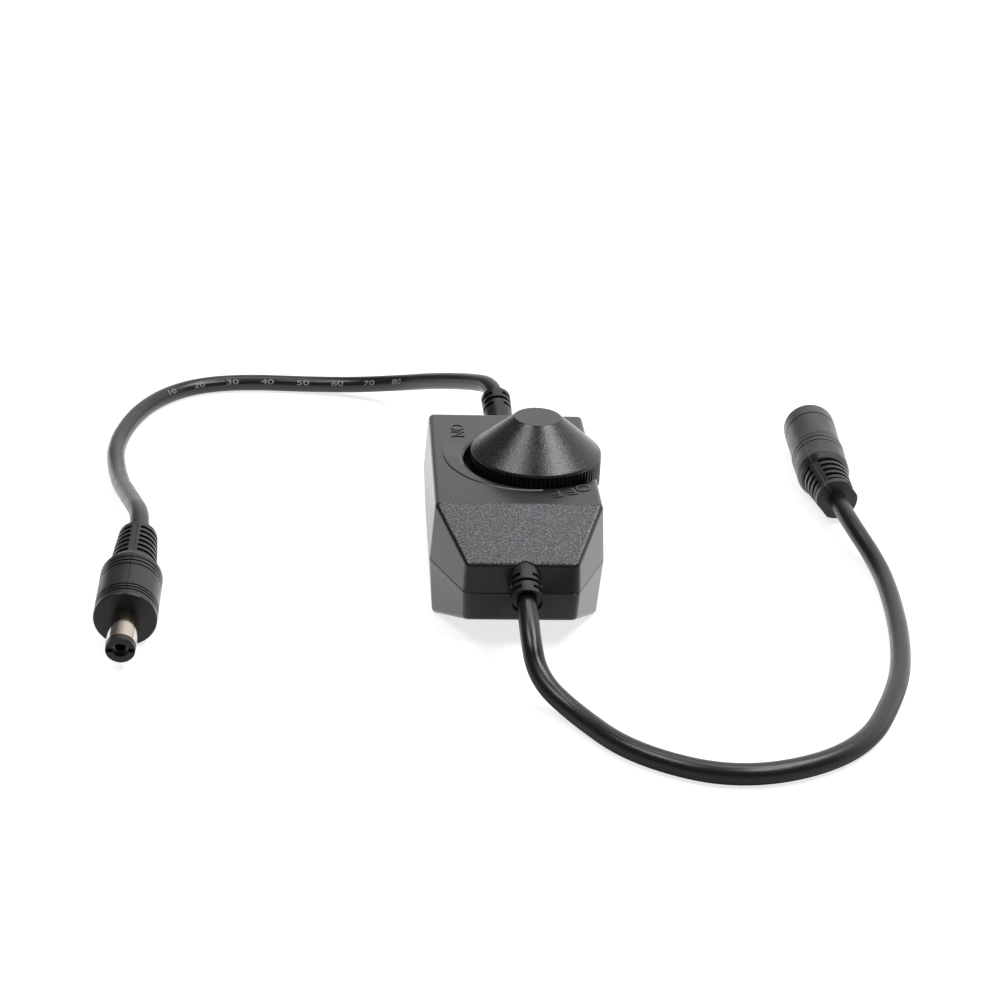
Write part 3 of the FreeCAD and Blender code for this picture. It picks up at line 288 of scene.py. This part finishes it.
# Where the plug and the socket lie. A seam has its rise, a point and a direction along the grip, the way out
# to it, and where it begins and ends.
PLUG_FACE = (-72.8, -36.1, 5.829)
PLUG_AXIS = (-0.0052, 0.993, 0.1184)
SOCKET_FACE = (72.75, 58.85, 5.82)
SOCKET_AXIS = (-0.0698, -0.9976, 0)
SOCKET_BEND = (70.866, 31.916, 5.82)
BOOT_AXIS = (0.0349, -0.9994, 0)
plug_seam = (0.18, PLUG_FACE, PLUG_AXIS, (0.08, -0.1184, 0.99), 0.4, 27.6)
grip_seam = (-0.06, SOCKET_FACE, SOCKET_AXIS, (-0.6412, 0.0449, 0.766), 17.0, 27.0)
boot_seam = (-0.06, SOCKET_BEND, BOOT_AXIS, (-0.6424, -0.0224, 0.766), 0, 12.0)

# ABS moulded in a spark-eroded tool: near black, satin, with a grain that sparkles where a lamp catches it.
# It is drawn a little coarser than the real one, so that it shows from where the camera stands; the lighter
# colour on its high points is a painted glint.
shell_abs = surface("spark_textured_abs", "#19191a", 0.22, grain=0.27, depth=0.075, patch=0.015,
                    where=on_slopes, glint_colour="#5d5b66")
# The wheel's cone carries the same painted glints on its grain's high points.
wheel_abs = surface("wheel_abs", "#18181a", 0.24, grain=0.24, depth=0.045, patch=0.015,
                    where=on_cone, glint_colour="#35333a")
# The letters stand proud in the same ABS, a little smoother than the top.
letter_abs = surface("letter_abs", "#1a1a1b", 0.22, grain=0.24, depth=0.002, patch=0.03)
# The letters beside the wheel are painted lighter, a painted highlight that stands in for the light their
# edges catch.
painted_highlight_letter_abs = surface("painted_highlight_letter_abs", "#3e3e40", 0.3, grain=0.24, depth=0.002, patch=0.03)
# Pale ink, thin and uneven, printed on the lead's jacket.
ink = surface("printed_ink", "#8c8c8a", 0.5, grain=0.3, depth=0.002, patch=0.05)
# Soft PVC moulded over the leads: a dull satin skin with faint flow marks and a flash line along the grip.
plug_pvc = surface("moulded_soft_pvc", "#151515", 0.36, grain=0.6, depth=0.022, patch=0.1, seams=(plug_seam,))
socket_pvc = surface("moulded_socket_pvc", "#151515", 0.38, grain=0.6, depth=0.022, patch=0.1,
                     seams=(grip_seam, boot_seam))
relief_pvc = surface("moulded_relief_pvc", "#151515", 0.36, grain=0.45, depth=0.008, patch=0.06)
# Extruded PVC: smooth enough for a long soft sheen along the lead.
jacket_pvc = surface("extruded_pvc_jacket", "#121213", 0.3, grain=0.9, depth=0.008, patch=0.05)
# Nickel on turned brass: warm grey, with fine turning marks that soften the reflections.
nickel = surface("nickel_plate", "#cabfb3", 0.14, grain=0.2, depth=0.001, metallic=1, patch=0.04)
# Nylon: a denser black with a soft even sheen.
nylon = surface("black_nylon", "#101010", 0.36, grain=0.2, depth=0.003, patch=0.04)
# The pieces inside: zinc plate dull and blotched, solder mask glossy green, epoxy matt, sleeve glossy.
zinc = surface("zinc_plated_steel", "#9a9a98", 0.32, grain=0.15, depth=0.002, metallic=1, patch=0.06)
laminate = surface("green_solder_mask", "#1d5a33", 0.3, grain=0.4, depth=0.003, patch=0.05)
epoxy = surface("moulded_epoxy", "#161616", 0.5, grain=0.1, depth=0.004, patch=0.04)
ceramic = surface("fired_ceramic", "#b09a78", 0.45, grain=0.1, depth=0.002, patch=0.05)
sleeve = surface("capacitor_sleeve", "#141a33", 0.28, grain=0.6, depth=0.003, patch=0.05)
phenolic = surface("pressed_phenolic", "#7a4a24", 0.5, grain=0.3, depth=0.005, patch=0.05)
tin = surface("tinned_brass", "#b9b4a4", 0.3, grain=0.2, depth=0.002, metallic=1, patch=0.06)
red_pvc = surface("red_wire_pvc", "#a3140f", 0.4, grain=0.4, depth=0.004, patch=0.05)

FINISHES = {
    shell_abs: ("upper_shell", "lower_shell"),
    wheel_abs: ("knob",),
    relief_pvc: ("input_relief", "output_relief"),
    plug_pvc: ("plug_body",),
    socket_pvc: ("socket_body",),
    jacket_pvc: ("input_black_wire", "output_black_wire", "input_cord", "output_cord"),
    nickel: ("pot_can", "pot_shaft", "plug_barrel", "socket_centre_pin", "socket_contact"),
    nylon: ("plug_insulator", "socket_liner"),
    zinc: ("housing_screws",),
    laminate: ("circuit_board",),
    epoxy: ("switch_case", "timer_chip", "power_transistor", "flyback_diode", "chip_resistors"),
    ceramic: ("chip_capacitors",),
    sleeve: ("bulk_capacitor",),
    phenolic: ("pot_rotor", "pot_wafer"),
    tin: ("pot_wiper", "pot_terminals", "switch_terminals", "plug_contact"),
    red_pvc: ("input_red_wire", "output_red_wire"),
}
for material, names in FINISHES.items():
    for name in names:
        for part_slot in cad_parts[name].material_slots:
            part_slot.material = material
for piece in (socket_lead, plug_lead):
    piece.data.materials.append(jacket_pvc)
lead_print.data.materials.append(ink)


# Marks on the top of the housing, moulded proud of it by a hair
TOP = 23.4


def letters(name, text, x, y, turn, height, wide, material):
    """Plain capitals that lie on the top, with their middle at x, y and their upper side turned by turn."""
    mesh = flat_text(text, height, 0.3)
    mesh.transform(Matrix.Translation(Vector((x, y, TOP)) * MM) @ Matrix.Rotation(math.radians(turn), 4, "Z")
                   @ Matrix.Diagonal((wide, 1, 1, 1)))
    piece = bpy.data.objects.new("mark_" + name, mesh)
    mesh.materials.append(material)
    scene.collection.objects.link(piece)
    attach(piece, "housing")
    return piece


letters("on", "ON", -10.5, 13.1, -90, 3.9, 1.05, letter_abs)
# The OFF letters carry the painted highlight.
for i, (text, x, y, turn, wide) in enumerate((
        ("O", 12.7, -13.9, 208, 1.15), ("F", 10.3, -15.5, 200, 1.4), ("F", 7.4, -16.7, 194, 1.4))):
    letters(f"off_{i + 1}", text, x, y, turn, 3.7, wide, painted_highlight_letter_abs)


WHEEL_X = 4.6
WELL_RADIUS = 14.3
CRESCENT_START = 4.8
CRESCENT_END = 1.1
CRESCENT_GAP = 0.45
STEP_RISE = 0.14
STEP_RUN = 0.32
SUNK = -0.3


def crescent(first, last, steps):
    """The crescent on the top beside the wheel, from the back left round to the front, a low step with a
    sloped edge. It rises from nothing at its first end and grows narrower towards its last."""
    inner = WELL_RADIUS + CRESCENT_GAP
    rows = []
    for i in range(steps + 1):
        share = i / steps
        turn = math.radians(first + share * (last - first))
        outer = WELL_RADIUS + CRESCENT_START - share * (CRESCENT_START - CRESCENT_END)
        rise = STEP_RISE * min(1, max(0.02, share / 0.2))
        section = ((inner, SUNK), (inner, 0), (inner + STEP_RUN, rise), (outer - STEP_RUN, rise), (outer, 0),
                   (outer, SUNK))
        rows.append([Vector((WHEEL_X - far * math.cos(turn), -far * math.sin(turn), TOP + up)) * MM
                     for far, up in section])
    count = len(rows[0])
    points = [point for row in rows for point in row]
    faces = [(at + j, at + (j + 1) % count, at + count + (j + 1) % count, at + count + j)
             for at in range(0, steps * count, count) for j in range(count)]
    faces += [tuple(reversed(range(count))), tuple(range(steps * count, (steps + 1) * count))]
    mesh = bpy.data.meshes.new("crescent")
    mesh.from_pydata(points, [], faces)
    shape = bmesh.new()
    shape.from_mesh(mesh)
    bmesh.ops.recalc_face_normals(shape, faces=shape.faces)
    shape.to_mesh(mesh)
    shape.free()
    piece = bpy.data.objects.new("top_crescent", mesh)
    mesh.materials.append(shell_abs)
    scene.collection.objects.link(piece)
    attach(piece, "housing")


crescent(-23, 91, 96)


# Floor and lights
def plane(name, half, height):
    """A level square that is part of the stage."""
    mesh = bpy.data.meshes.new(name)
    corners = [(-half, -half, height), (half, -half, height), (half, half, height), (-half, half, height)]
    mesh.from_pydata(corners, [], [(0, 1, 2, 3)])
    piece = bpy.data.objects.new(name, mesh)
    scene.collection.objects.link(piece)
    return piece


# White paper. The camera and the reflections see it lit from below as well, as on a light table, and only a
# faint shadow stays on it. In front of the camera's side it reflects less, so that the front faces stay dark.
floor = plane("floor", 6, -0.0001)
paper = bpy.data.materials.new("white_paper")
paper.use_nodes = True
tree = paper.node_tree
tree.nodes.clear()
rays = add(tree, "ShaderNodeLightPath")
place = add(tree, "ShaderNodeTexCoord")
spot = add(tree, "ShaderNodeVectorMath", [(0, place, "Object")], operation="ADD")
bright = ramp(tree, along(tree, spot, (0, 1, 0)), "Value", -0.055, -0.025)
bright.inputs["To Max"].default_value = 0.8
seen = add(tree, "ShaderNodeMath", [(0, rays, "Is Camera Ray")], [(1, 0.76)], operation="MULTIPLY")
mirrored = add(tree, "ShaderNodeMath", [(0, rays, "Is Glossy Ray"), (1, bright, 0)], operation="MULTIPLY")
shown = add(tree, "ShaderNodeMath", [(0, seen, 0), (1, mirrored, 0)], operation="ADD")
matt = add(tree, "ShaderNodeBsdfDiffuse", values=[("Color", paint("#b4b4b4"))])
glow = add(tree, "ShaderNodeEmission", [("Strength", shown, 0)], [("Color", (1, 1, 1, 1))])
both = add(tree, "ShaderNodeAddShader", [(0, matt, 0), (1, glow, 0)])
add(tree, "ShaderNodeOutputMaterial", [("Surface", both, 0)])
floor.data.materials.append(paper)

# The room: even for plain light, and for reflections white behind the object and dark on the camera's side
world = bpy.data.worlds.new("studio")
scene.world = world
world.use_nodes = True
tree = world.node_tree
tree.nodes.clear()
rays = add(tree, "ShaderNodeLightPath")
sky = add(tree, "ShaderNodeTexCoord")
way = add(tree, "ShaderNodeVectorMath", [(0, sky, "Generated")], operation="NORMALIZE")
depth = ramp(tree, along(tree, way, (0.8, 1, 0)), "Value", 0.4, 0.95)
depth.inputs["To Min"].default_value = 0.12
depth.inputs["To Max"].default_value = 1.15
even = add(tree, "ShaderNodeBackground", values=[("Color", (1, 1, 1, 1)), ("Strength", 0.18)])
room = add(tree, "ShaderNodeBackground", [("Strength", depth, 0)], [("Color", (1, 1, 1, 1))])
white = add(tree, "ShaderNodeBackground", values=[("Color", (1, 1, 1, 1)), ("Strength", 1)])
reflected = add(tree, "ShaderNodeMixShader", [(0, rays, "Is Glossy Ray"), (1, even, 0), (2, room, 0)])
pick = add(tree, "ShaderNodeMixShader", [(0, rays, "Is Camera Ray"), (1, reflected, 0), (2, white, 0)])
add(tree, "ShaderNodeOutputWorld", [("Surface", pick, 0)])


def lamp(name, spot, target, width, depth, brightness):
    """A square soft box: its power follows from its size and how bright its face looks."""
    data = bpy.data.lights.new(name, "AREA")
    data.shape = "RECTANGLE"
    data.size = width
    data.size_y = depth
    data.energy = brightness * math.pi * width * depth
    box = bpy.data.objects.new(name, data)
    box.location = spot
    box.rotation_euler = (Vector(target) - Vector(spot)).to_track_quat("-Z", "Y").to_euler()
    scene.collection.objects.link(box)


# The boxes left and right draw the two streaks on the cone; the one behind lights the slope.
WHEEL_TOP = (0, 0, 0.02)
lamp("left_box", (-0.38, -0.15, 0.82), WHEEL_TOP, 0.46, 0.27, 7.5)
lamp("right_box", (0.4, -0.11, 0.82), WHEEL_TOP, 0.74, 0.27, 9.2)
lamp("back_box", (0.06, 0.27, 0.84), WHEEL_TOP, 0.6, 0.36, 3.3)
